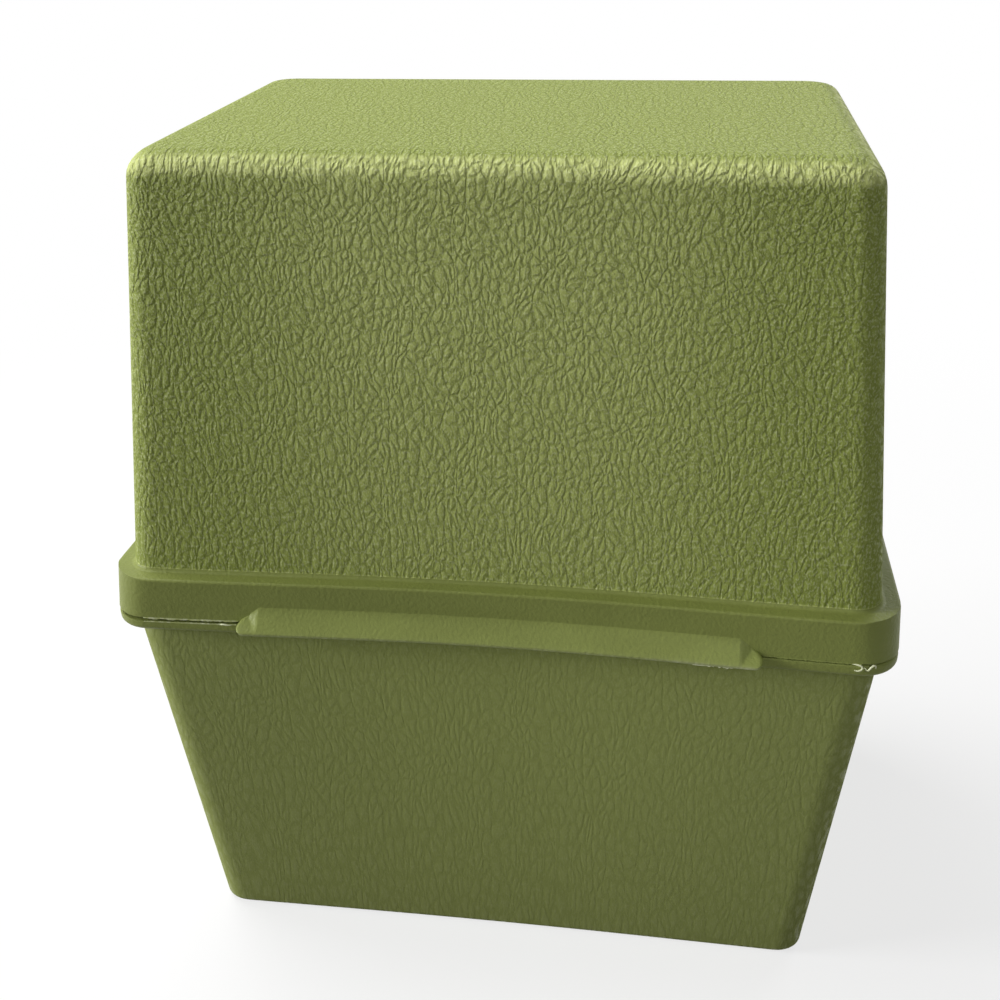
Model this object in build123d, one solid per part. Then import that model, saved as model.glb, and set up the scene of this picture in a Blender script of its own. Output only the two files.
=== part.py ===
from build123d import *
import math
import os

# Recipe box: a deep moulded lid over a tapered base, joined along the back by a living
# hinge, with tabbed dividers and cards standing inside.
# Millimetres. +Z is up, -Y is the front, +Y the hinge side. The origin is the middle of
# the underside.

# Card stock, which sets the width of the box
card_width = 127.0
card_height = 76.2
card_thickness = 0.35
card_air = 0.15
card_corner_radius = 2.5
cards_per_section = 4
divider_thickness = 0.6
divider_count = 6
tab_height = 9.5
tab_width = 26.0
tab_corner_radius = 2.5
section_air = 0.9

# Room round the cards
card_side_clearance = 0.8
card_rear_clearance = 4.0
card_foot_clearance = 0.3

# Base
floor_depth = 85.3
floor_thickness = 2.0
base_height = 84.0
base_corner_radius = 6.0
base_foot_radius = 2.0
base_inner_foot_radius = 1.5
wall = 2.0
draft_angle = 5.3
flange_overhang = 3.0
flange_thickness = 2.4
flange_edge_radius = 0.6
lip_height = 5.0

# Lid
parting_gap = 0.5
band_height = 8.7
band_wall = 2.0
band_edge_radius = 0.9
rim_corner_radius = 7.5
ledge_width = 4.0
ledge_thickness = 2.0
ledge_root_radius = 0.8
lid_height = 80.3
lid_top_thickness = 2.0
lid_corner_radius = 5.2
lid_top_radius = 5.0
lip_clearance = 0.4

# Thumb tab on the front of the lid
thumb_width = 44.0
thumb_reach = 2.9
thumb_rise = 4.2
thumb_edge = 1.0
thumb_corner_radius = 2.4

# Living hinge on the back
hinge_length = 104.0
hinge_reach = 2.9
web_radius = 0.7
web_clearance = 0.05
leaf_tip = 0.45
hood_rise = 3.4
hood_hip = 4.5
hood_end_drop = 1.9

# One overrun serves every cut
overrun = 1.0

# Places worked out from the sizes above
spread = math.tan(math.radians(draft_angle))
floor_width = card_width + 2 * card_side_clearance
base_rise = base_height - floor_thickness
base_width = floor_width + 2 * wall + 2 * spread * base_rise
base_depth = floor_depth + 2 * wall + 2 * spread * base_rise
rim_width = base_width + 2 * flange_overhang
rim_depth = base_depth + 2 * flange_overhang
rim_back = rim_depth / 2
band_bottom = base_height + parting_gap
ledge_top = band_bottom + band_height
ledge_bottom = ledge_top - ledge_thickness
lid_top = ledge_top + lid_height
lid_width = rim_width - 2 * ledge_width
lid_depth = rim_depth - 2 * ledge_width
skirt_width = rim_width - 2 * band_wall
skirt_depth = rim_depth - 2 * band_wall
skirt_corner_radius = rim_corner_radius - band_wall
axis_y = rim_back + hinge_reach - web_radius
axis_z = base_height + parting_gap / 2
section_thickness = divider_thickness + cards_per_section * (card_air + card_thickness)
section_pitch = section_thickness + section_air


def outline(width, depth, radius, height):
    """A level rounded rectangle."""
    return Pos(0, 0, height) * RectangleRounded(width, depth, radius)


def slab(width, depth, radius, low, high):
    """A straight-sided block with rounded upright corners."""
    return extrude(outline(width, depth, radius, low), high - low)


def tapered(width, depth, radius, low, high, slope):
    """A block whose walls lean outwards by the slope as they rise."""
    grow = 2 * slope * (high - low)
    foot = outline(width, depth, radius, low)
    head = outline(width + grow, depth + grow, radius, high)
    return loft([foot, head], ruled=True)


def softened(solid, radius, group):
    """The solid with its lowest or highest ring of edges rounded."""
    return fillet(solid.edges().group_by(Axis.Z)[group], radius)


def base_shell():
    """Tapered tray with an outward flange and an upstanding lip that the lid drops over."""
    foot_drop = 2 * spread * base_rise + 2 * spread * floor_thickness
    tray = tapered(
        base_width - foot_drop, base_depth - foot_drop, base_corner_radius, 0, base_height, spread
    )
    tray = softened(tray, base_foot_radius, 0)
    flange = slab(rim_width, rim_depth, rim_corner_radius, base_height - flange_thickness, base_height)
    flange = softened(flange, flange_edge_radius, 0)
    flange = softened(flange, flange_edge_radius, -1)
    lip = slab(
        skirt_width - 2 * lip_clearance,
        skirt_depth - 2 * lip_clearance,
        skirt_corner_radius - lip_clearance,
        base_height - flange_thickness,
        base_height + lip_height,
    )
    inside = tapered(
        floor_width,
        floor_depth,
        base_corner_radius - wall,
        floor_thickness,
        base_height + lip_height + overrun,
        spread,
    )
    inside = softened(inside, base_inner_foot_radius, 0)
    return tray + flange + lip - inside


def thumb_tab():
    """Ledge on the front of the band, to lift the lid by."""
    face = -rim_depth / 2
    profile = Polygon(
        (face + band_wall / 2, band_bottom),
        (face - thumb_reach, band_bottom),
        (face - thumb_reach, band_bottom + thumb_edge),
        (face, band_bottom + thumb_rise),
        (face + band_wall / 2, band_bottom + thumb_rise),
        align=None,
    )
    tab = extrude(Plane.YZ * profile, thumb_width / 2, both=True)
    corners = [
        edge
        for edge in tab.edges().filter_by(Axis.Z)
        if edge.center().Y < face - thumb_reach / 2
    ]
    return fillet(corners, thumb_corner_radius)


def lid_shell():
    """Deep lid with a smooth stepped-out band whose skirt covers the lip of the base."""
    drop = 2 * spread * ledge_thickness
    crown = tapered(
        lid_width + drop, lid_depth + drop, lid_corner_radius, ledge_bottom, lid_top, -spread
    )
    crown = softened(crown, lid_top_radius, -1)
    band = slab(rim_width, rim_depth, rim_corner_radius, band_bottom, ledge_top)
    band = softened(band, band_edge_radius, -1)
    outside = crown + band
    ledge = outside.faces().filter_by(Plane.XY).group_by(Axis.Z)[1][0]
    outside = fillet(ledge.inner_wires()[0].edges(), ledge_root_radius)
    inner_drop = 2 * spread * (ledge_top - band_bottom + overrun)
    inside = tapered(
        lid_width - 2 * wall + inner_drop,
        lid_depth - 2 * wall + inner_drop,
        lid_corner_radius - wall,
        band_bottom - overrun,
        lid_top - lid_top_thickness,
        -spread,
    )
    inside = softened(inside, lid_top_radius - wall, -1)
    skirt = slab(
        skirt_width, skirt_depth, skirt_corner_radius, band_bottom - overrun, ledge_bottom
    )
    return outside - inside - skirt + thumb_tab()


def hinge_bore():
    """The round space that the fold of the hinge takes."""
    bore = Cylinder(web_radius + web_clearance, hinge_length + 2 * overrun)
    return Pos(0, axis_y, axis_z) * Rot(0, 90, 0) * bore


def leaf(foot, tip):
    """A moulded ramp between an outline on the rim's back face and one at the fold."""
    inner = Pos(0, rim_back, 0) * (Plane.XZ * Polygon(*foot, align=None))
    outer = Pos(0, axis_y, 0) * (Plane.XZ * Polygon(*tip, align=None))
    return loft([inner, outer], ruled=True) - hinge_bore()


def lid_hinge_leaf():
    """Hooded ramp on the band, with hipped ends."""
    half = hinge_length / 2
    top = band_bottom + hood_rise
    end_top = top - hood_end_drop
    tip_top = axis_z + web_radius + leaf_tip
    foot = [
        (-half, band_bottom),
        (half, band_bottom),
        (half, end_top),
        (half - hood_hip, top),
        (hood_hip - half, top),
        (-half, end_top),
    ]
    tip = [
        (-half, band_bottom),
        (half, band_bottom),
        (half, tip_top),
        (half - hood_hip, tip_top),
        (hood_hip - half, tip_top),
        (-half, tip_top),
    ]
    return leaf(foot, tip)


def base_hinge_leaf():
    """Lower ramp, on the edge of the base's flange."""
    half = hinge_length / 2
    low = base_height - flange_thickness + flange_edge_radius
    tip_low = axis_z - web_radius - leaf_tip
    top = base_height - flange_edge_radius
    foot = [(-half, low), (half, low), (half, top), (-half, top)]
    tip = [(-half, tip_low), (half, tip_low), (half, base_height), (-half, base_height)]
    return leaf(foot, tip)


def hinge_web():
    """The thin fold between the two leaves, on the axis that the lid turns about."""
    return Pos(0, axis_y, axis_z) * Rot(0, 90, 0) * Cylinder(web_radius, hinge_length)


def section_place(number):
    """Where a section stands: its front lower edge, leaning back with the rear wall."""
    lean = math.radians(draft_angle)
    from_back = section_pitch * (divider_count - number) + section_thickness
    foot_y = floor_depth / 2 - card_rear_clearance - from_back
    foot_z = floor_thickness + card_foot_clearance + section_thickness * math.sin(lean)
    return Pos(0, foot_y, foot_z) * Rot(-draft_angle, 0, 0)


def card_blank(thickness):
    """An upright card with its front lower edge on the X axis."""
    face = Plane.XZ * RectangleRounded(card_width, card_height, card_corner_radius)
    return extrude(Pos(0, 0, card_height / 2) * face, -thickness)


def divider(number):
    """A card with a blank tab, set one step further along than the tab in front of it."""
    tab_step = (card_width - tab_width) / (divider_count - 1)
    tab_x = tab_width / 2 - card_width / 2 + tab_step * (number - 1)
    reach = tab_height + tab_corner_radius
    tab = RectangleRounded(tab_width, reach + tab_corner_radius, tab_corner_radius)
    tab = Pos(tab_x, 0, card_height + tab_height - (reach + tab_corner_radius) / 2) * (Plane.XZ * tab)
    blank = card_blank(divider_thickness) + extrude(tab, -divider_thickness)
    return section_place(number) * blank


def section_cards(number):
    """The plain cards that stand behind one divider."""
    place = section_place(number)
    step = card_air + card_thickness
    return Compound(
        [
            place * Pos(0, divider_thickness + card_air + step * index, 0) * card_blank(card_thickness)
            for index in range(cards_per_section)
        ]
    )


os.makedirs("parts", exist_ok=True)
export_step(base_shell(), "parts/base_shell.step")
export_step(lid_shell(), "parts/lid_shell.step")
export_step(lid_hinge_leaf(), "parts/lid_hinge_leaf.step")
export_step(base_hinge_leaf(), "parts/base_hinge_leaf.step")
export_step(hinge_web(), "parts/hinge_web.step")
for number in range(1, divider_count + 1):
    export_step(divider(number), f"parts/divider_{number}.step")
    export_step(section_cards(number), f"parts/section_{number}_cards.step")

print("rim", rim_width, rim_depth, "height", lid_top, "axis", axis_y, axis_z)
for number in range(1, divider_count + 1):
    print("section", number, "foot", section_place(number).position)
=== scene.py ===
import math

import bmesh
import bpy
from bpy.props import FloatProperty, FloatVectorProperty, IntProperty, PointerProperty
from mathutils import Matrix, Vector, noise


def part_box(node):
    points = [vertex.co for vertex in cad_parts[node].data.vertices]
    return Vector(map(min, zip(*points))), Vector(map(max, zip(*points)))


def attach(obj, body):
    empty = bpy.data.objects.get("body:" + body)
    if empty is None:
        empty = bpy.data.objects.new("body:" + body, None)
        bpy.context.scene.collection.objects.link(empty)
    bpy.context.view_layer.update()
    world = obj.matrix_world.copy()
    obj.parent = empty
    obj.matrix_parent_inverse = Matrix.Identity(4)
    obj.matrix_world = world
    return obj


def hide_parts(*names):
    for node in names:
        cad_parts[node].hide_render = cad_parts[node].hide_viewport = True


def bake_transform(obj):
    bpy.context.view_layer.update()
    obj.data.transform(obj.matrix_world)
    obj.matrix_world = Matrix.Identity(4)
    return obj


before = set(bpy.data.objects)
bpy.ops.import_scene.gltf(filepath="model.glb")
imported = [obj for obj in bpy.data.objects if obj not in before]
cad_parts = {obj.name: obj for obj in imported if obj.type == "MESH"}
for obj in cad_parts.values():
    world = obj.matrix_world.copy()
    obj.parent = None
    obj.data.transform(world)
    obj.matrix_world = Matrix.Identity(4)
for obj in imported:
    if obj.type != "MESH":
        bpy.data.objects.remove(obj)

bl_info = {
    "name": "Recipe Box",
    "version": (1, 0, 0),
    "blender": (4, 5, 0),
    "location": "View3D > Sidebar > Recipe Box",
    "description": "Models and finishes a moulded recipe box round its packed CAD frame",
    "category": "Object",
}

# Metres, in the frame's own axes: +Z up, -Y the front, +Y the hinge side
MM = 0.001
MERGE = 1e-6  # vertices this close are one
TOUCH = 0.01 * MM  # places this close are level with each other
WALL_RINGS = 12  # rings of faces up each wall
LONG_CUTS, SHORT_CUTS = 13, 11  # cuts across the long walls and the short ones
MIDDLE_CUTS, HIP_CUTS = 27, 18  # sections along the middle of the hinge and along each hip
UP, DOWN = 1, -1
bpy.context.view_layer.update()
LID_LOW, LID_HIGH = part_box("lid_shell")
BASE_LOW, BASE_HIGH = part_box("base_shell")
HOOD_LOW, HOOD_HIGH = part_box("lid_hinge_leaf")
LEAF_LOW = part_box("base_hinge_leaf")[0]
WEB_LOW, WEB_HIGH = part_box("hinge_web")
SECTIONS = range(1, 7)


def hex_colour(code):
    """An sRGB hex colour as linear red, green, blue and alpha."""
    shares = [int(code[at : at + 2], 16) / 255 for at in (1, 3, 5)]
    linear = [s / 12.92 if s <= 0.04045 else ((s + 0.055) / 1.055) ** 2.4 for s in shares]
    return (*linear, 1.0)


def length(name, description, default):
    """A property that holds a length."""
    return FloatProperty(name=name, description=description, default=default, unit="LENGTH", precision=5)


def colour(name, description, code):
    """A property that holds a colour."""
    return FloatVectorProperty(
        name=name, description=description, default=hex_colour(code), size=4, subtype="COLOR"
    )


def power(name, description, default):
    """A property that holds a lamp's power."""
    return FloatProperty(name=name, description=description, default=default, unit="POWER")


def tilt(name, description, degrees):
    """A property that holds an angle."""
    return FloatProperty(name=name, description=description, default=math.radians(degrees), subtype="ANGLE")


def position(name, description, default):
    """A property that holds a place."""
    return FloatVectorProperty(name=name, description=description, default=default, unit="LENGTH")


class ShellSizes(bpy.types.PropertyGroup):
    """Sizes that the lid and the base share."""

    rim_width: length("Rim width", "Width across the band and the flange", BASE_HIGH.x - BASE_LOW.x)
    rim_depth: length("Rim depth", "Depth across the band and the flange", BASE_HIGH.y - BASE_LOW.y)
    rim_radius: length("Rim corner", "Corner radius of the band and the flange", 7.5 * MM)
    wall: length("Wall", "Thickness of the moulded walls", 2 * MM)
    draft: tilt("Draft", "Lean of the walls", 5.3)
    band_bottom: length("Band foot", "Height of the lid's lowest edge", LID_LOW.z)
    band_height: length("Band height", "Height of the smooth band", 8.7 * MM)
    band_lean: length("Band lean", "How far the band leans in over its height", 0.35 * MM)
    corner_lean: length("Corner lean", "How much the rim's corner radius grows up the band", 2.2 * MM)
    band_edge: length("Band edge", "Radius of the band's upper edge", 0.55 * MM)
    band_foot_edge: length("Band foot edge", "Radius of the band's lower edge", 0.3 * MM)
    ledge_width: length("Ledge", "Width of the ledge on top of the band", 4 * MM)
    ledge_root: length("Ledge root", "Radius where the ledge meets the lid's wall", 1 * MM)
    lid_top: length("Lid top", "Height of the lid's top face", LID_HIGH.z)
    lid_radius: length("Lid corner", "Corner radius of the lid's walls", 5.2 * MM)
    top_radius: length("Top edge", "Radius round the lid's top face", 5.4 * MM)
    flange_top: length("Flange top", "Height of the base's flange", 84 * MM)
    flange_thickness: length("Flange", "Thickness of the base's flange", 2.4 * MM)
    flange_overhang: length("Flange overhang", "How far the flange stands out", 3 * MM)
    flange_edge: length("Flange edge", "Radius of the flange's upper edge", 0.5 * MM)
    flange_foot_edge: length("Flange foot edge", "Radius of the flange's lower edge", 1.1 * MM)
    flange_warp: length("Flange warp", "How far the flange's top is out of level at each end", 0.24 * MM)
    lip_top: length("Lip top", "Height of the lip inside the lid's band", BASE_HIGH.z)
    lip_clearance: length("Lip clearance", "Room between the lip and the band", 0.4 * MM)
    base_radius: length("Base corner", "Corner radius of the base's walls", 6 * MM)
    floor_thickness: length("Floor", "Thickness of the base's floor", 2 * MM)
    foot_radius: length("Foot radius", "Radius round the underside", 2 * MM)
    bow_back: length("Bow", "How far the long walls have drawn in at the rim", 2.7 * MM)
    bow_side: length("Side bow", "How far the short walls have drawn in at the rim", 0.1 * MM)
    thumb_width: length("Thumb tab", "Width of the tab on the lid's front", 44 * MM)
    thumb_rise: length("Thumb tab rise", "Height of the tab on the lid's front", 4.2 * MM)
    thumb_edge: length("Thumb tab edge", "Thickness of the tab at its edge", 1 * MM)
    thumb_radius: length("Thumb tab corner", "Corner radius of the tab", 2.4 * MM)
    arc_steps: IntProperty(name="Corner steps", description="Faces round each corner", default=10)


class HingeSizes(bpy.types.PropertyGroup):
    """Sizes of the living hinge across the back."""

    span: length("Span", "Length of the hinge between its trimmed ends", HOOD_HIGH.x - HOOD_LOW.x - 2.3 * MM)
    shift: length("Shift", "How far the hinge's middle lies from the box's", -0.75 * MM)
    hood_top: length("Hood top", "Height of the hood on the band", HOOD_HIGH.z)
    nose: length("Nose", "How far back the fold reaches", WEB_HIGH.y)
    foot: length("Foot", "Height where the hinge leaves the flange", LEAF_LOW.z)
    fold_rise: length("Fold rise", "How much higher the fold hangs than the foot", 0.65 * MM)
    hip: length("Hip", "How far the hood stops short of the hinge's ends", 4.5 * MM)
    end_drop: length("End drop", "How much lower the hinge is at its ends", 1.8 * MM)
    end_round: length("End round", "Radius of the ends' upper corners", 1 * MM)
    end_edge: length("End edge", "Radius round the faces of the ends", 0.6 * MM)
    end_bulge: length("End bulge", "How far the ends' faces stand out below their middle", 0.9 * MM)
    fold_radius: length("Fold radius", "Radius of the fold's lower edge", 0.55 * MM)


class FinishColours(bpy.types.PropertyGroup):
    """Colours of the box and what it holds."""

    shell: colour("Shell", "Olive polypropylene", "#8b9748")
    lower_shell: colour("Lower shell", "Olive polypropylene of the base", "#8f9857")
    # Painted light: this colour makes the middle of the walls paler, more so higher up, as a pool of light
    painted_middle_light: colour("Painted middle light", "Where hands have dulled the walls", "#a9b366")
    # Painted highlight: this colour makes the rounding of the lid's top edge paler where it turns up towards
    # the light
    painted_edge_highlight: colour("Painted edge highlight", "Where the lid's top edge has been rubbed", "#bec77b")
    # Painted shade: this colour darkens the bottoms of the grain's creases
    crease: colour("Crease", "Shade in the bottom of the grain", "#7a8540")
    smooth: colour("Smooth", "Polypropylene from a polished tool", "#828b48")
    flow: colour("Flow", "Flow marks in the smooth parts", "#757d40")
    flexed: colour("Flexed", "Thin plastic that has paled with folding", "#8c9650")
    rubbed: colour("Rubbed", "Thin plastic that hands have dulled", "#a5ae67")
    whitened: colour("Whitened", "Polypropylene that has been bent or rubbed thin", "#e6eac4")
    card: colour("Card", "Cream index card", "#efe7d2")
    aged_card: colour("Aged card", "Yellowed fibres in the card", "#d3c19a")
    rule: colour("Rule", "Lines across the cards", "#9fb6c4")
    divider: colour("Divider", "Buff pressboard", "#c9a676")
    divider_fibre: colour("Divider fibre", "Darker fibres in the pressboard", "#b08c5c")
    divider_fleck: colour("Divider fleck", "Flecks in the pressboard", "#7c5f3c")


class StageSettings(bpy.types.PropertyGroup):
    """Camera and light."""

    camera_place: position("Camera", "Where the camera stands", (-0.03351, 0.25665, 0.21716))
    camera_aim: position("Aim", "Where the camera looks", (0.00494, 0.00534, 0.08941))
    camera_roll: tilt("Roll", "Tilt of the picture", -1.06)
    camera_lens: FloatProperty(name="Lens", description="Focal length in millimetres", default=45.57)
    window: power("Window", "Power of the low light at the side", 21)
    overhead: power("Overhead", "Power of the light above", 9.2)
    card: power("Card", "Power of the small light by the camera", 0.26)
    fill: power("Fill", "Power of the light behind the camera", 0.55)
    front: power("Front", "Power of the light on the front", 4.5)
    ambient: FloatProperty(name="Ambient", description="Strength of the room's own light", default=0.02)


# Modelling


def newest(name):
    """The object that was just made, after naming it and its data."""
    made = bpy.context.object
    made.name = made.data.name = name
    return made


def select_only(*objects):
    """Selects these objects and no others, and makes the first of them the active one."""
    bpy.ops.object.select_all(action="DESELECT")
    for obj in objects:
        obj.select_set(True)
    bpy.context.view_layer.objects.active = objects[0]


def start_editing(obj, action="SELECT"):
    """Opens the object in edit mode, with all of its mesh selected or none of it."""
    select_only(obj)
    bpy.ops.object.mode_set(mode="EDIT")
    bpy.ops.mesh.select_all(action=action)


def stop_editing():
    """Goes back to object mode."""
    bpy.ops.object.mode_set(mode="OBJECT")


def merge_doubles():
    """Makes one vertex of those that lie in one place."""
    bpy.ops.mesh.select_all(action="SELECT")
    bpy.ops.mesh.remove_doubles(threshold=MERGE)


def close_skin():
    """Turns every face outwards, and goes back to object mode."""
    bpy.ops.mesh.select_all(action="SELECT")
    bpy.ops.mesh.normals_make_consistent(inside=False)
    stop_editing()


def copy_piece(obj, name):
    """A copy of a piece, with its own mesh."""
    twin = obj.copy()
    twin.data = obj.data.copy()
    twin.name = name
    bpy.context.scene.collection.objects.link(twin)
    return twin


def cut(place, normal):
    """Cuts the whole mesh along a plane."""
    bpy.ops.mesh.select_all(action="SELECT")
    bpy.ops.mesh.bisect(plane_co=place, plane_no=normal, threshold=MERGE)


def rounded_plate(name, width, depth, radius, height, steps, columns, rows):
    """A level plate with rounded corners, cut into columns and rows."""
    bpy.ops.mesh.primitive_plane_add(size=1)
    plate = newest(name)
    start_editing(plate)
    bpy.ops.transform.resize(value=(width, depth, 1))
    bpy.ops.transform.translate(value=(0, 0, height))
    bpy.ops.mesh.bevel(offset=radius, segments=steps, affect="VERTICES")
    for x in columns:
        cut((x, 0, 0), (1, 0, 0))
    for y in rows:
        cut((0, y, 0), (0, 1, 0))
    stop_editing()
    return plate


def lift(rise):
    """Draws the face straight up or down, leaving a wall behind it."""
    bpy.ops.mesh.extrude_region_move(TRANSFORM_OT_translate={"value": (0, 0, rise)})


def step_in(inset, rise=0.0):
    """Draws the face in by an even margin, and up or down."""
    bpy.ops.mesh.inset(thickness=inset, depth=0)
    bpy.ops.transform.translate(value=(0, 0, rise))


def quarter(steps, first=0.0):
    """The pairs of angles that a quarter round is made of."""
    angles = [first + (math.pi / 2 - first) * at / steps for at in range(steps + 1)]
    return list(zip(angles, angles[1:]))


def round_over(radius, way, steps=4):
    """Rounds from an upright wall onto a level face."""
    for a, b in quarter(steps):
        step_in(radius * (math.cos(a) - math.cos(b)), way * radius * (math.sin(b) - math.sin(a)))


def cove(radius, way, steps=4):
    """Rounds from a level face into an upright wall."""
    for a, b in quarter(steps):
        step_in(radius * (math.sin(b) - math.sin(a)), way * radius * (math.cos(a) - math.cos(b)))


def drawn_in(outline, inset):
    """Width and depth of an outline that is drawn in by an even margin."""
    return tuple(side - 2 * inset for side in outline)


def shrink(size, inset, rise):
    """Draws the face on while its outline gets smaller by the inset, and gives the new outline."""
    new = drawn_in(size, inset)
    lift(rise)
    bpy.ops.transform.resize(value=(new[0] / size[0], new[1] / size[1], 1), center_override=(0, 0, 0))
    return new


def leaning_wall(size, draft, rise):
    """Draws a wall that leans in, in several rings."""
    step = rise / WALL_RINGS
    for _ in range(WALL_RINGS):
        size = shrink(size, abs(step) * math.tan(draft), step)
    return size


def round_crown(size, draft, radius, way, steps=8):
    """Rounds from a leaning wall onto a level face, keeping the corners' radius."""
    for a, b in quarter(steps, draft):
        inset = radius * (math.cos(a) - math.cos(b))
        size = shrink(size, inset, way * radius * (math.sin(b) - math.sin(a)))
    return size


def turn_corners(size, old, new):
    """Gives the outline of the drawn face another corner radius."""
    slack = 0.25 * MM
    mesh = bmesh.from_edit_mesh(bpy.context.edit_object.data)
    for vertex in mesh.verts:
        past = [abs(vertex.co[axis]) - (size[axis] / 2 - old) for axis in (0, 1)]
        if vertex.select and min(past) > -slack:
            for axis in (0, 1):
                reach = size[axis] / 2 - new + past[axis] * new / old
                vertex.co[axis] = math.copysign(reach, vertex.co[axis])
    bmesh.update_edit_mesh(bpy.context.edit_object.data)


def crown_rise(draft, radius):
    """How much height a rounded crown takes."""
    return radius * (1 - math.sin(draft))


def weld(name, seam, *parts):
    """Joins skins that share their first ring, at the seam's height, into one closed shell, without the plates
    that they were drawn from."""
    select_only(*parts)
    bpy.ops.object.join()
    shell = newest(name)
    start_editing(shell, "DESELECT")
    mesh = bmesh.from_edit_mesh(shell.data)
    for face in mesh.faces:
        if all(abs(vertex.co.z - seam) < TOUCH for vertex in face.verts):
            face.select_set(True)
    bmesh.update_edit_mesh(shell.data)
    bpy.ops.mesh.delete(type="FACE")
    merge_doubles()
    close_skin()
    return shell


def smooth_step(low, high, value):
    """Zero below low, one above high, and smooth between."""
    share = min(1.0, max(0.0, (value - low) / (high - low)))
    return share * share * (3 - 2 * share)


def bow_at_height(z, sizes):
    """Share of the rim's bow at a height: little at the foot, none at the lid's top."""
    foot_share = 0.35
    if z < sizes.flange_top:
        return foot_share + (1 - foot_share) * z / sizes.flange_top
    if z < sizes.lip_top:
        return 1.0
    return max(0.0, (sizes.lid_top - z) / (sizes.lid_top - sizes.lip_top)) ** 1.3


def bow_walls(obj, sizes):
    """Draws the middles of the walls in, as on a box that has shrunk in its mould."""
    half_x = sizes.rim_width / 2
    half_y = sizes.rim_depth / 2
    for vertex in obj.data.vertices:
        x, y, z = vertex.co
        share = bow_at_height(z, sizes)
        along_x = max(0.0, 1 - (x / half_x) ** 2) ** 2
        along_y = max(0.0, 1 - (y / half_y) ** 2) ** 2
        vertex.co.y -= y / half_y * sizes.bow_back * share * along_x
        vertex.co.x -= x / half_x * sizes.bow_side * share * along_y


def past_corner(reach, radius):
    """How far a place lies past the middle of the rim's corner, from its distances to the rim's sides."""
    return Vector((max(0.0, reach.x + radius), max(0.0, reach.y + radius)))


def lean_band(lid, sizes):
    """Leans the band's outer face in towards its ledge, with the draft of the rest of the moulding."""
    radius = sizes.rim_radius
    shelf = sizes.ledge_width - sizes.ledge_root
    for vertex in lid.data.vertices:
        reach = Vector((abs(vertex.co.x) - sizes.rim_width / 2, abs(vertex.co.y) - sizes.rim_depth / 2))
        near = 1 - smooth_step(sizes.band_edge, shelf, radius - past_corner(reach, radius).length)
        share = min(1.0, (vertex.co.z - sizes.band_bottom) / sizes.band_height)
        if near and vertex.co.z < sizes.band_bottom + sizes.band_height + TOUCH:
            wider = radius + sizes.corner_lean * share
            out = past_corner(reach, wider)
            round_corner = max(0.0, out.length - wider) if min(out) > 0 else 0.0
            inset = out.normalized() * (sizes.band_lean * share + round_corner) * near
            vertex.co.x -= math.copysign(inset.x, vertex.co.x)
            vertex.co.y -= math.copysign(inset.y, vertex.co.y)


def warp_flange(obj, sizes):
    """Lowers the top of the flange at one end and raises it at the other, so that the lid gapes a little."""
    for vertex in obj.data.vertices:
        below = smooth_step(sizes.flange_top - sizes.flange_edge, sizes.flange_top, vertex.co.z)
        above = smooth_step(sizes.flange_top, sizes.lip_top, vertex.co.z)
        vertex.co.z -= sizes.flange_warp * (below - above) * vertex.co.x / (sizes.rim_width / 2)


def finish_mesh(obj, body, nodes=(), angle=35):
    """Smooths a piece, evens its normals, and puts it on its body."""
    select_only(obj)
    bpy.ops.object.shade_smooth_by_angle(angle=math.radians(angle))
    bpy.ops.object.modifier_add(type="WEIGHTED_NORMAL")
    obj.modifiers[-1].keep_sharp = True
    bpy.ops.object.modifier_apply(modifier=obj.modifiers[-1].name)
    if body:
        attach(obj, body)
    if nodes:
        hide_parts(*nodes)


def even_cuts(reach, count):
    """Places of evenly spaced cuts from -reach to reach."""
    return [-reach + 2 * reach * at / (count - 1) for at in range(count)]


def plate_for_rim(sizes, name, height):
    """The rim's outline as a plate, cut where the walls need columns."""
    straight_x = sizes.rim_width / 2 - sizes.rim_radius
    straight_y = sizes.rim_depth / 2 - sizes.rim_radius
    columns = even_cuts(straight_x, LONG_CUTS) + [-sizes.thumb_width / 2, sizes.thumb_width / 2]
    rows = even_cuts(straight_y, SHORT_CUTS)
    columns += [straight_x - sizes.corner_lean, sizes.corner_lean - straight_x]
    rows += [straight_y - sizes.corner_lean, sizes.corner_lean - straight_y]
    return rounded_plate(
        name, sizes.rim_width, sizes.rim_depth, sizes.rim_radius, height, sizes.arc_steps, columns, rows
    )


# Materials


# Settings that many nodes share. A Mix of colours takes them at inputs 6 and 7, and gives the mix at output 2.
SOFT = {"interpolation_type": "SMOOTHSTEP"}
FLAT = {"noise_dimensions": "2D"}
CELL_EDGES = {"feature": "DISTANCE_TO_EDGE", "voronoi_dimensions": "2D"}
COLOUR = {"data_type": "RGBA"}


def add_node(tree, kind, inputs=None, **settings):
    """Adds a node, sets it, and fills its inputs with values or with links from sockets or nodes."""
    made = tree.nodes.new("ShaderNode" + kind)
    for name, value in settings.items():
        setattr(made, name, value)
    for socket, value in (inputs or {}).items():
        if isinstance(value, bpy.types.Node):
            value = value.outputs[0]
        if isinstance(value, bpy.types.NodeSocket):
            tree.links.new(value, made.inputs[socket])
        else:
            made.inputs[socket].default_value = value
    return made


def new_material(name):
    """An empty node material, and its tree."""
    material = bpy.data.materials.new(name)
    material.use_nodes = True
    material.node_tree.nodes.clear()
    return material, material.node_tree


def between(low, high, start=0, end=1):
    """Inputs of a node that maps the range from low to high onto the one from start to end."""
    return {"From Min": low, "From Max": high, "To Min": start, "To Max": end}


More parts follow.
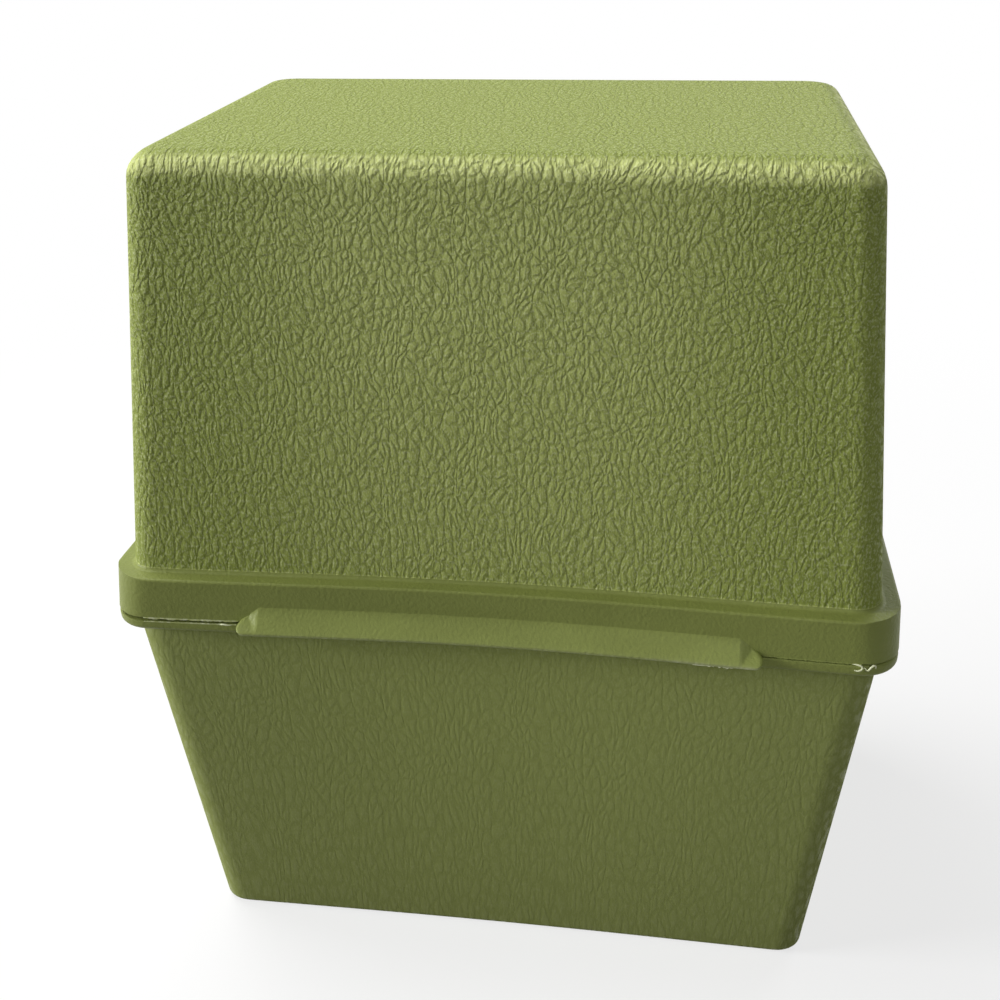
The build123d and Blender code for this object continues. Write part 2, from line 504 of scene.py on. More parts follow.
def leather_relief(tree, place, cell):
    """Height of a leather grain on a flat pattern: rounded pebbles about one cell wide, some of them split,
    parted by creases of which the longest run upwards. Gives also the fine tooth that lies over it, drawn as
    coarse as it needs to show."""
    drift, ragged, patchy, tooth = [
        add_node(tree, "TexNoise", {"Vector": place, "Scale": 1 / size, "Detail": detail}, **FLAT)
        for size, detail in ((6 * cell, 1.0), (0.6 * cell, 1.0), (2.5 * cell, 1.0), (0.36 * MM, 2.0))
    ]
    uneven = place
    for waver, reach in ((drift, 2.6 * cell), (ragged, 0.3 * cell)):
        shift = {0: waver.outputs["Color"], 1: (reach, reach, 0), 2: uneven}
        uneven = add_node(tree, "VectorMath", shift, operation="MULTIPLY_ADD")
    tall = add_node(tree, "Mapping", {"Vector": uneven, "Scale": (1, 0.5, 1)})
    cells = {"Vector": uneven, "Scale": 1 / cell, "Randomness": 0.95}
    edge = add_node(tree, "TexVoronoi", cells, **CELL_EDGES)
    heart = add_node(tree, "TexVoronoi", cells, feature="F1", voronoi_dimensions="2D")
    halves = add_node(tree, "TexVoronoi", {"Vector": uneven, "Scale": 1.8 / cell}, **CELL_EDGES)
    strands = add_node(tree, "TexVoronoi", {"Vector": tall, "Scale": 0.55 / cell}, **CELL_EDGES)
    crease = add_node(tree, "MapRange", {"Value": edge, **between(0, 0.3)}, **SOFT)
    dome = add_node(tree, "MapRange", {"Value": heart, **between(0.1, 0.75, 1, 0.55)}, **SOFT)
    split = add_node(tree, "MapRange", {"Value": halves, **between(0, 0.18, 0.1, 0)}, **SOFT)
    some = add_node(tree, "MapRange", {"Value": patchy, **between(0.4, 0.6, 0.25)}, **SOFT)
    furrow = add_node(tree, "MapRange", {"Value": strands, **between(0, 0.1, 0.5, 0)}, **SOFT)
    crown = add_node(tree, "Math", {0: crease, 1: dome}, operation="MULTIPLY")
    cracks = add_node(tree, "Math", {0: split, 1: some, 2: furrow}, operation="MULTIPLY_ADD")
    pebbles = add_node(tree, "Math", {0: crown, 1: cracks}, operation="SUBTRACT")
    return pebbles, tooth


def grained_polypropylene(name, shell, colours, depth, cell, mark, foot):
    """Polypropylene moulded against a leather-textured tool: soft pebbles with a dull shine on their tops
    and painted shade in the creases, drawn out more the lower they are, and from front to back on the top. The
    grain is shallower towards the foot, and the mark is how much of it shows in the colour. The colour also has
    a painted highlight on the rounding of the top edge, and painted light in the middle of the walls, stronger
    higher up."""
    material, tree = new_material(name)
    coordinates = add_node(tree, "TexCoord")
    place = coordinates.outputs["Object"]
    spot = add_node(tree, "SeparateXYZ", {0: place})
    facing = add_node(tree, "SeparateXYZ", {0: coordinates.outputs["Normal"]})
    sideways, backways = [
        add_node(tree, "Math", {0: facing.outputs[axis]}, operation="ABSOLUTE") for axis in "XY"
    ]
    on_side = add_node(tree, "Math", {0: sideways, 1: backways}, operation="GREATER_THAN")
    along = add_node(tree, "Mix", {0: on_side, 2: spot.outputs["X"], 3: spot.outputs["Y"]})
    pulled = {0: spot.outputs["Z"], 1: 0.28 / LID_HIGH.z, 2: 0.25}
    pull = add_node(tree, "Math", pulled, operation="MULTIPLY_ADD")
    drawn = add_node(tree, "Math", {0: spot.outputs["Z"], 1: pull}, operation="MULTIPLY")
    upright = add_node(tree, "CombineXYZ", {0: along, 1: drawn})
    level = add_node(tree, "Mapping", {"Vector": place, "Scale": (1, 0.6, 1)})
    wall, wall_tooth = leather_relief(tree, upright, cell)
    top, top_tooth = leather_relief(tree, level, cell)
    upward = add_node(tree, "MapRange", {"Value": facing.outputs["Z"], **between(0.75, 0.97)}, **SOFT)
    faint = add_node(tree, "Math", {0: top, 1: 0.6}, operation="MULTIPLY")
    pebbles = add_node(tree, "Mix", {0: upward, 2: wall, 3: faint})
    tooth = add_node(tree, "Mix", {0: upward, 2: wall_tooth, 3: top_tooth})
    relief = add_node(tree, "Math", {0: tooth, 1: 0.8, 2: pebbles}, operation="MULTIPLY_ADD")
    rising = add_node(
        tree, "MapRange", {"Value": spot.outputs["Z"], **between(foot, foot + 70 * MM, 0.5, 1.15)}
    )
    height = add_node(tree, "Math", {0: relief, 1: rising}, operation="MULTIPLY")
    # Painted shade: the creases between the pebbles are darkened in the colour
    shade = add_node(tree, "MapRange", {"Value": pebbles, **between(0, 0.6, 0.3 * mark, 0)}, **SOFT)
    pale = add_node(tree, "MapRange", {"Value": tooth, **between(0.45, 0.75, 0, 0.3 * mark)}, **SOFT)
    # Painted light: a paler patch across the middle of the walls, stronger higher up, paints a pool of light
    # there
    off_middle = add_node(tree, "Math", {0: along}, operation="ABSOLUTE")
    middle = add_node(tree, "MapRange", {"Value": off_middle, **between(15 * MM, 60 * MM, mark, 0)}, **SOFT)
    middle_light_share = add_node(tree, "Math", {0: middle, 1: rising}, operation="MULTIPLY")
    # Painted highlight: the rounding between the walls and the top face is tinted paler
    turning = add_node(tree, "MapRange", {"Value": facing.outputs["Z"], **between(0.12, 0.5, 0, mark)}, **SOFT)
    painted_middle_light = add_node(tree, "MapRange", {"Value": upward, **between(0, 1, middle_light_share, 0)})
    edge_highlight_share = add_node(tree, "MapRange", {"Value": upward, **between(0, 1, turning, 0)})
    middle_lit = add_node(tree, "Mix", {0: painted_middle_light, 6: shell, 7: colours.painted_middle_light}, **COLOUR)
    worn_and_highlighted = add_node(tree, "Mix", {0: edge_highlight_share, 6: middle_lit.outputs[2], 7: colours.painted_edge_highlight}, **COLOUR)
    crease_shaded = add_node(tree, "Mix", {0: shade, 6: worn_and_highlighted.outputs[2], 7: colours.crease}, **COLOUR)
    tint = add_node(tree, "Mix", {0: pale, 6: crease_shaded.outputs[2], 7: colours.whitened}, **COLOUR)
    shine = add_node(tree, "MapRange", {"Value": pebbles, **between(0, 1, 0.8, 0.42)})
    bump = add_node(tree, "Bump", {"Height": height, "Distance": depth, "Strength": 1.0})
    look = {"Base Color": tint.outputs[2], "Roughness": shine, "Normal": bump}
    plastic = add_node(tree, "BsdfPrincipled", {**look, "IOR": 1.49, "Specular IOR Level": 0.16})
    add_node(tree, "OutputMaterial", {"Surface": plastic})
    return material


def satin_polypropylene(name, colours, worn_and_highlighted=False):
    """Polypropylene from a plain polished tool: even colour with a soft waxy shine and faint flow marks.
    Where the piece has a wear attribute, its thin edges are whitened: in part real wear, and along the
    hinge's fold in part a painted highlight."""
    material, tree = new_material(name)
    place = add_node(tree, "TexCoord").outputs["Object"]
    flow = add_node(tree, "Mapping", {"Vector": place, "Scale": (0.35, 0.35, 1.0)})
    marks = add_node(tree, "TexNoise", {"Vector": flow, "Scale": 1 / (6 * MM), "Detail": 3.0})
    skin = add_node(tree, "TexNoise", {"Vector": place, "Scale": 1 / (0.7 * MM), "Detail": 2.0})
    streak = add_node(tree, "MapRange", {"Value": marks, **between(0.3, 0.75, 0, 0.4)}, **SOFT)
    plain = colours.flexed if worn_and_highlighted else colours.smooth
    tint = add_node(tree, "Mix", {0: streak, 6: plain, 7: colours.flow}, **COLOUR)
    if worn_and_highlighted:
        wear_and_highlight = add_node(tree, "Attribute", attribute_name="wear_and_highlight")
        nicks = add_node(tree, "TexNoise", {"Vector": place, "Scale": 1 / (1.1 * MM), "Detail": 4.0})
        patchy = add_node(tree, "MapRange", {"Value": nicks, **between(0.4, 0.7, 0.45)}, **SOFT)
        # Whitened edges: real rubbed nicks, and a faint painted highlight all along the fold's lower edge
        rubbed = add_node(tree, "Math", {0: wear_and_highlight.outputs["Fac"], 1: patchy}, operation="MULTIPLY")
        tint = add_node(tree, "Mix", {0: rubbed, 6: tint.outputs[2], 7: colours.whitened}, **COLOUR)
    shine = add_node(tree, "MapRange", {"Value": marks, **between(0.3, 0.7, 0.42, 0.52)})
    bump = add_node(tree, "Bump", {"Height": skin, "Distance": 0.12 * MM, "Strength": 1.0})
    look = {"Base Color": tint.outputs[2], "Roughness": shine, "Normal": bump}
    plastic = add_node(tree, "BsdfPrincipled", {**look, "IOR": 1.49, "Specular IOR Level": 0.22})
    add_node(tree, "OutputMaterial", {"Surface": plastic})
    return material


def index_card_stock(colours):
    """Uncoated cream card with ruled lines: matt, faintly fibrous and a little yellowed. The fibres are drawn
    as coarse as they need to show."""
    material, tree = new_material("uncoated_index_card")
    place = add_node(tree, "TexCoord").outputs["Object"]
    parts = add_node(tree, "SeparateXYZ", {0: place})
    spacing = 6.35 * MM
    rows = add_node(tree, "Math", {0: parts.outputs["Z"], 1: spacing}, operation="DIVIDE")
    across = add_node(tree, "Math", {0: rows}, operation="FRACT")
    line = add_node(tree, "Math", {0: across, 1: 0.4 * MM / spacing}, operation="LESS_THAN")
    ink = add_node(tree, "Math", {0: line, 1: 0.7}, operation="MULTIPLY")
    fibre = add_node(tree, "TexNoise", {"Vector": place, "Scale": 1 / (0.8 * MM), "Detail": 4.0})
    age = add_node(tree, "MapRange", {"Value": fibre, **between(0.3, 0.8, 0, 0.22)}, **SOFT)
    ruled = add_node(tree, "Mix", {0: ink, 6: colours.card, 7: colours.rule}, **COLOUR)
    tint = add_node(tree, "Mix", {0: age, 6: ruled.outputs[2], 7: colours.aged_card}, **COLOUR)
    bump = add_node(tree, "Bump", {"Height": fibre, "Distance": 0.03 * MM})
    paper = add_node(tree, "BsdfPrincipled", {"Base Color": tint.outputs[2], "Roughness": 0.85, "Normal": bump})
    add_node(tree, "OutputMaterial", {"Surface": paper})
    return material


def pressboard(colours):
    """Buff pressboard for the dividers: calendered, with a dull sheen, short fibres and flecks, which are drawn
    as coarse as they need to show."""
    material, tree = new_material("buff_pressboard")
    place = add_node(tree, "TexCoord").outputs["Object"]
    fibre = add_node(tree, "TexNoise", {"Vector": place, "Scale": 1 / (1.1 * MM), "Detail": 5.0})
    fleck = add_node(tree, "TexVoronoi", {"Vector": place, "Scale": 1 / (2.4 * MM)})
    mottle = add_node(tree, "MapRange", {"Value": fibre, **between(0.3, 0.75, 0, 0.5)}, **SOFT)
    specks = add_node(tree, "MapRange", {"Value": fleck, **between(0.05, 0.16, 0.5, 0)}, **SOFT)
    board_tint = add_node(tree, "Mix", {0: mottle, 6: colours.divider, 7: colours.divider_fibre}, **COLOUR)
    tint = add_node(tree, "Mix", {0: specks, 6: board_tint.outputs[2], 7: colours.divider_fleck}, **COLOUR)
    bump = add_node(tree, "Bump", {"Height": fibre, "Distance": 0.04 * MM})
    board = add_node(tree, "BsdfPrincipled", {"Base Color": tint.outputs[2], "Roughness": 0.62, "Normal": bump})
    add_node(tree, "OutputMaterial", {"Surface": board})
    return material


def whitened_polypropylene(name, colours, least):
    """Thin torn flash: pale where the plastic has stretched, from the least height of the patches on."""
    material, tree = new_material(name)
    place = add_node(tree, "TexCoord").outputs["Object"]
    patches = add_node(tree, "TexNoise", {"Vector": place, "Scale": 1 / (1.2 * MM), "Detail": 3.0})
    stretched = add_node(tree, "MapRange", {"Value": patches, **between(least, least + 0.4)}, **SOFT)
    tint = add_node(tree, "Mix", {0: stretched, 6: colours.rubbed, 7: colours.whitened}, **COLOUR)
    plastic = add_node(tree, "BsdfPrincipled", {"Base Color": tint.outputs[2], "Roughness": 0.45, "IOR": 1.49})
    add_node(tree, "OutputMaterial", {"Surface": plastic})
    return material


def seen_directly(tree):
    """One for rays from the camera, in reflections and through glass, zero for light that bounces."""
    path = add_node(tree, "LightPath").outputs
    seen = path["Is Camera Ray"]
    for ray in ("Is Glossy Ray", "Is Transmission Ray"):
        seen = add_node(tree, "Math", {0: seen, 1: path[ray]}, operation="MAXIMUM")
    return seen


def seamless_paper():
    """White studio paper: it keeps a soft shadow near the box and runs out to plain white, and gives the
    box only a little bounced light."""
    material, tree = new_material("seamless_paper")
    place = add_node(tree, "TexCoord").outputs["Object"]
    seen = seen_directly(tree)
    away = add_node(tree, "VectorMath", {0: place}, operation="LENGTH")
    plain = add_node(tree, "MapRange", {"Value": away.outputs["Value"], **between(0.1, 0.45, 0.72)}, **SOFT)
    glow = add_node(tree, "Math", {0: seen, 1: plain}, operation="MULTIPLY")
    tint = add_node(tree, "Mix", {0: seen, 6: hex_colour("#7c7c79"), 7: hex_colour("#f9f9f9")}, **COLOUR)
    paper = add_node(tree, "BsdfDiffuse", {"Color": tint.outputs[2]})
    white = add_node(tree, "Emission", {"Color": hex_colour("#ffffff"), "Strength": 1.0})
    surface = add_node(tree, "MixShader", {0: glow, 1: paper, 2: white})
    add_node(tree, "OutputMaterial", {"Surface": surface})
    return material


# Pieces


class RECIPEBOX_OT_lid(bpy.types.Operator):
    """Model the deep lid with its smooth band and thumb tab"""

    bl_idname = "recipe_box.lid"
    bl_label = "Lid"

    def execute(self, context):
        sizes = context.scene.recipe_box_shells
        colours = context.scene.recipe_box_colours
        outer = plate_for_rim(sizes, "lid_shell_outer", sizes.band_bottom + sizes.band_foot_edge)
        inner = copy_piece(outer, "lid_shell_inner")
        ledge_top = sizes.band_bottom + sizes.band_height
        rim = (sizes.rim_width, sizes.rim_depth)

        start_editing(outer)
        lift(sizes.thumb_edge - sizes.band_foot_edge)
        lift(sizes.thumb_rise - sizes.thumb_edge)
        lift(sizes.band_height - sizes.thumb_rise - sizes.band_edge)
        round_over(sizes.band_edge, UP)
        shelf = sizes.ledge_width - sizes.ledge_root
        step_in(shelf - sizes.band_edge)
        turn_corners(drawn_in(rim, shelf), sizes.rim_radius - shelf, sizes.lid_radius + sizes.ledge_root)
        cove(sizes.ledge_root, UP)
        foot = drawn_in(rim, sizes.ledge_width)
        wall_top = sizes.lid_top - crown_rise(sizes.draft, sizes.top_radius)
        size = leaning_wall(foot, sizes.draft, wall_top - ledge_top - sizes.ledge_root)
        round_crown(size, sizes.draft, sizes.top_radius, UP)
        stop_editing()

        start_editing(inner)
        round_over(sizes.band_foot_edge, DOWN)
        step_in(sizes.wall - sizes.band_foot_edge)
        lift(sizes.band_height - sizes.wall)
        step_in(sizes.ledge_width)
        foot = drawn_in(rim, sizes.ledge_width + sizes.wall)
        inner_radius = sizes.top_radius - sizes.wall
        wall_top = sizes.lid_top - sizes.wall - crown_rise(sizes.draft, inner_radius)
        size = leaning_wall(foot, sizes.draft, wall_top - ledge_top + sizes.wall)
        round_crown(size, sizes.draft, inner_radius, UP)
        stop_editing()

        lid = weld("lid_moulding", sizes.band_bottom + sizes.band_foot_edge, outer, inner)
        self.draw_thumb_tab(lid, sizes)
        grain = {"depth": 0.2 * MM, "cell": 1.6 * MM, "mark": 1.0, "foot": ledge_top}
        grained = grained_polypropylene("grained_polypropylene", colours.shell, colours, **grain)
        lid.data.materials.append(satin_polypropylene("satin_polypropylene", colours))
        lid.data.materials.append(grained)
        heart = Vector((0, 0, (ledge_top + sizes.lid_top) / 2))
        for face in lid.data.polygons:
            outward = (face.center - heart).dot(face.normal) > 0
            face.material_index = int(outward and face.center.z > ledge_top + sizes.ledge_root / 2)
        lean_band(lid, sizes)
        bow_walls(lid, sizes)
        finish_mesh(lid, "lid", ["lid_shell"])
        return {"FINISHED"}

    def draw_thumb_tab(self, lid, sizes):
        """Draws the tab out of the front of the band, and slopes its upper face back to the band."""
        front = -sizes.rim_depth / 2
        reach = front - LID_LOW.y
        top = sizes.band_bottom + sizes.thumb_rise
        start_editing(lid, "DESELECT")
        mesh = bmesh.from_edit_mesh(lid.data)
        for face in mesh.faces:
            middle = face.calc_center_median()
            on_front = abs(middle.y - front) < 0.1 * MM and abs(face.normal.y) > 0.9
            if on_front and abs(middle.x) < sizes.thumb_width / 2 and middle.z < top:
                face.select_set(True)
        bmesh.update_edit_mesh(lid.data)
        bpy.ops.mesh.extrude_region_move(TRANSFORM_OT_translate={"value": (0, -reach, 0)})
        mesh = bmesh.from_edit_mesh(lid.data)
        for vertex in mesh.verts:
            if vertex.select and abs(vertex.co.z - top) < TOUCH:
                vertex.co.y = front
        bmesh.update_edit_mesh(lid.data)
        merge_doubles()
        bpy.ops.mesh.select_all(action="DESELECT")
        mesh = bmesh.from_edit_mesh(lid.data)
        for edge in mesh.edges:
            if all(
                abs(abs(vertex.co.x) - sizes.thumb_width / 2) < TOUCH
                and abs(vertex.co.y - front + reach) < TOUCH
                for vertex in edge.verts
            ):
                edge.select_set(True)
        bmesh.update_edit_mesh(lid.data)
        bpy.ops.mesh.bevel(offset=sizes.thumb_radius, segments=6, affect="EDGES")
        stop_editing()


class RECIPEBOX_OT_base(bpy.types.Operator):
    """Model the tapered base with its flange and lip"""

    bl_idname = "recipe_box.base"
    bl_label = "Base"

    def execute(self, context):
        sizes = context.scene.recipe_box_shells
        colours = context.scene.recipe_box_colours
        ring = sizes.flange_top - sizes.flange_edge
        outer = plate_for_rim(sizes, "base_shell_outer", ring)
        inner = copy_piece(outer, "base_shell_inner")
        rim = (sizes.rim_width, sizes.rim_depth)

        start_editing(outer)
        lift(sizes.flange_edge + sizes.flange_foot_edge - sizes.flange_thickness)
        round_over(sizes.flange_foot_edge, DOWN, steps=6)
        step_in(sizes.flange_overhang - sizes.flange_foot_edge)
        head = drawn_in(rim, sizes.flange_overhang)
        turn_corners(head, sizes.rim_radius - sizes.flange_overhang, sizes.base_radius)
        wall_foot = crown_rise(sizes.draft, sizes.foot_radius)
        fall = wall_foot - (sizes.flange_top - sizes.flange_thickness)
        size = leaning_wall(head, sizes.draft, fall)
        round_crown(size, sizes.draft, sizes.foot_radius, DOWN, steps=6)
        stop_editing()

        start_editing(inner)
        round_over(sizes.flange_edge, UP)
        lip_set_back = sizes.wall + sizes.lip_clearance
        step_in(lip_set_back - sizes.flange_edge)
        lip_round = 0.4 * MM
        lift(sizes.lip_top - sizes.flange_top - lip_round)
        round_over(lip_round, UP)
        slope = math.tan(sizes.draft)
        floor_fall = slope * (sizes.flange_top - sizes.floor_thickness)
        floor = drawn_in(head, floor_fall + sizes.wall)
        mouth = drawn_in(floor, -slope * (sizes.lip_top - sizes.floor_thickness))
        step_in((rim[0] - mouth[0]) / 2 - lip_set_back - lip_round)
        inner_radius = 1.5 * MM
        fall = sizes.floor_thickness + crown_rise(sizes.draft, inner_radius) - sizes.lip_top
        size = leaning_wall(mouth, sizes.draft, fall)
        round_crown(size, sizes.draft, inner_radius, DOWN, steps=4)
        stop_editing()

        base = weld("base_moulding", ring, outer, inner)
        grain = {"depth": 0.036 * MM, "cell": 1.7 * MM, "mark": 0.2, "foot": 0.0}
        grained = grained_polypropylene("soft_grained_polypropylene", colours.lower_shell, colours, **grain)
        base.data.materials.append(bpy.data.materials["satin_polypropylene"])
        base.data.materials.append(grained)
        wall_head = sizes.flange_top - sizes.flange_thickness
        for face in base.data.polygons:
            middle = face.center
            outward = middle.x * face.normal.x + middle.y * face.normal.y > 0
            face.material_index = int(outward and middle.z < wall_head - 0.1 * MM)
        warp_flange(base, sizes)
        bow_walls(base, sizes)
        finish_mesh(base, "base", ["base_shell"])
        return {"FINISHED"}


class RECIPEBOX_OT_hinge(bpy.types.Operator):
    """Model the living hinge, folded across the back"""

    bl_idname = "recipe_box.hinge"
    bl_label = "Living hinge"

    def execute(self, context):
        sizes = context.scene.recipe_box_shells
        hinge = context.scene.recipe_box_hinge
        colours = context.scene.recipe_box_colours
        strip = self.loft(self.places(hinge), sizes, hinge)
        self.bulge_ends(strip, sizes, hinge)
        self.mark_wear(strip, hinge)
        strip.data.materials.append(satin_polypropylene("rubbed_and_highlighted_polypropylene", colours, worn_and_highlighted=True))
        bow_walls(strip, sizes)
        leaves = ["lid_hinge_leaf", "hinge_web", "base_hinge_leaf"]
        finish_mesh(strip, None, leaves, angle=50)
        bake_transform(strip)
        return {"FINISHED"}

    def places(self, hinge):
        """Places of the sections along the hinge, closer together at its ends."""
        half = hinge.span / 2
        middle = even_cuts(half - hinge.hip, MIDDLE_CUTS)
        hips = even_cuts((hinge.hip - hinge.end_edge) / 2, HIP_CUTS)[1:]
        hips = [half - (hinge.hip + hinge.end_edge) / 2 + x for x in hips]
        edge = [half - hinge.end_edge * share for share in (0.9, 0.65, 0.42, 0.24, 0.1, 0.03, 0.0)]
        return [hinge.shift + x for x in [-x for x in reversed(hips + edge)] + middle + hips + edge]

    def section(self, x, sizes, hinge):
        """Outline of the hinge at one place: hood, fold and foot, going round from inside the band."""
        back = sizes.rim_depth / 2
        from_end = hinge.span / 2 - abs(x - hinge.shift)
        radius = hinge.fold_radius
        fold_y = hinge.nose - radius
        fold_z = hinge.foot + hinge.fold_rise + radius
        hollow = 1.25
        brow = math.radians(35)
        brow_y = fold_y + radius * math.cos(brow)
        brow_z = fold_z + radius * math.sin(brow)
        face = back - sizes.band_lean * (hinge.hood_top - sizes.band_bottom) / sizes.band_height
        ramp = []
        for share in (0.0, 0.08, 0.18, 0.3, 0.45, 0.6, 0.75, 0.9, 1.0):
            hip_end = (1.9 + 2.2 * share) * MM
            hipped = min(1.0, max(0.0, (hinge.hip - from_end) / (hinge.hip - hip_end))) ** (1 + share)
            turned = min(1.0, max(0.0, 1 - from_end / hinge.end_round))
            rounded = hinge.end_round * 0.8 * (1 - math.sqrt(1 - turned**2))
            drop = (hinge.end_drop * hipped + rounded) * (1 - share)
            ramp_y = face + (brow_y - face) * share**hollow
            ramp_z = hinge.hood_top + (brow_z - hinge.hood_top) * share - drop
            ramp.append((ramp_y, ramp_z))
        nose = [
            (fold_y + radius * math.cos(turn), fold_z + radius * math.sin(turn))
            for turn in (0.2, -0.3, -0.8, -1.3)
        ]
        sunk = back - 0.6 * MM
        inside = [(sunk, hinge.foot + 0.1 * MM), (sunk, ramp[0][1])]
        foot = [(back - 0.2 * MM, hinge.foot)]
        return inside + ramp + nose + foot

    def end_section(self, x, sizes, hinge):
        """The section, drawn in a little at the very ends so that their edges are rounded."""
        points = self.section(x, sizes, hinge)
        rounding = hinge.end_edge
        past = max(0.0, abs(x - hinge.shift) - hinge.span / 2 + rounding) / rounding
        inset = rounding * (1 - math.sqrt(max(0.0, 1 - past * past)))
        back = sizes.rim_depth / 2
        middle = Vector((back, sum(z for _, z in points) / len(points)))
        drawn = []
        for point in points:
            offset = Vector(point) - middle
            outer = smooth_step(back - 0.4 * MM, back, point[0])
            drawn.append(middle + offset * (1 - outer * min(0.5, inset / max(offset.length, 0.1 * MM))))
        return drawn

    def loft(self, places, sizes, hinge):
        """Draws the section along the hinge from end to end."""
        count = len(self.section(0, sizes, hinge))
        bpy.ops.mesh.primitive_circle_add(vertices=count, radius=MM, fill_type="NGON")
        strip = newest("living_hinge")
        start_editing(strip)
        for at, x in enumerate(places):
            if at:
                bpy.ops.mesh.extrude_region_move()
            mesh = bmesh.from_edit_mesh(strip.data)
            face = next(face for face in mesh.faces if face.select)
            for loop, (y, z) in zip(face.loops, self.end_section(x, sizes, hinge)):
                loop.vert.co = (x, y, z)
            bmesh.update_edit_mesh(strip.data)
        close_skin()
        self.close_first_end(strip)
        return strip

    def close_first_end(self, strip):
        """Fills the end that the drawing left open."""
        start_editing(strip, "DESELECT")
        bpy.ops.mesh.select_mode(type="EDGE")
        bpy.ops.mesh.select_non_manifold()
        bpy.ops.mesh.edge_face_add()
        bpy.ops.mesh.select_mode(type="VERT")
        close_skin()

    def bulge_ends(self, strip, sizes, hinge):
        """Rounds the trimmed ends, fullest below the middle of the slope."""
        fullest = hinge.foot + 1.35 * MM
        half_height = 1.75 * MM
        run_in = 3 * MM
        for vertex in strip.data.vertices:
            along = vertex.co.x - hinge.shift
            near = 1 - smooth_step(0, run_in, hinge.span / 2 - abs(along))
            slope = vertex.co.z - 0.5 * (vertex.co.y - sizes.rim_depth / 2)
            drawn = min(1.8, ((slope - fullest) / half_height) ** 2)
            vertex.co.x -= math.copysign(hinge.end_bulge * drawn * near, along)

    def mark_wear(self, strip, hinge):
        """Marks where the fold's lower edge has been rubbed, more towards one end, with a faint share all along
        it that is a painted highlight on the rounded edge.
        """
        wear_and_highlight = strip.data.attributes.new("wear_and_highlight", "FLOAT", "POINT")
        low = hinge.foot + hinge.fold_rise
        # The share all along the fold paints a highlight on its lower edge; the picked share is real wear
        whitening_and_highlight_along, where_picked = 0.22, 0.3
        for vertex, mark in zip(strip.data.vertices, wear_and_highlight.data):
            lower = 1 - smooth_step(low + 0.3 * MM, low + 1.0 * MM, vertex.co.z)
            outer = smooth_step(hinge.nose - 1.2 * MM, hinge.nose - 0.3 * MM, vertex.co.y)
            picked = smooth_step(30 * MM, 38 * MM, -vertex.co.x)
            mark.value = lower * outer * (whitening_and_highlight_along + where_picked * picked)


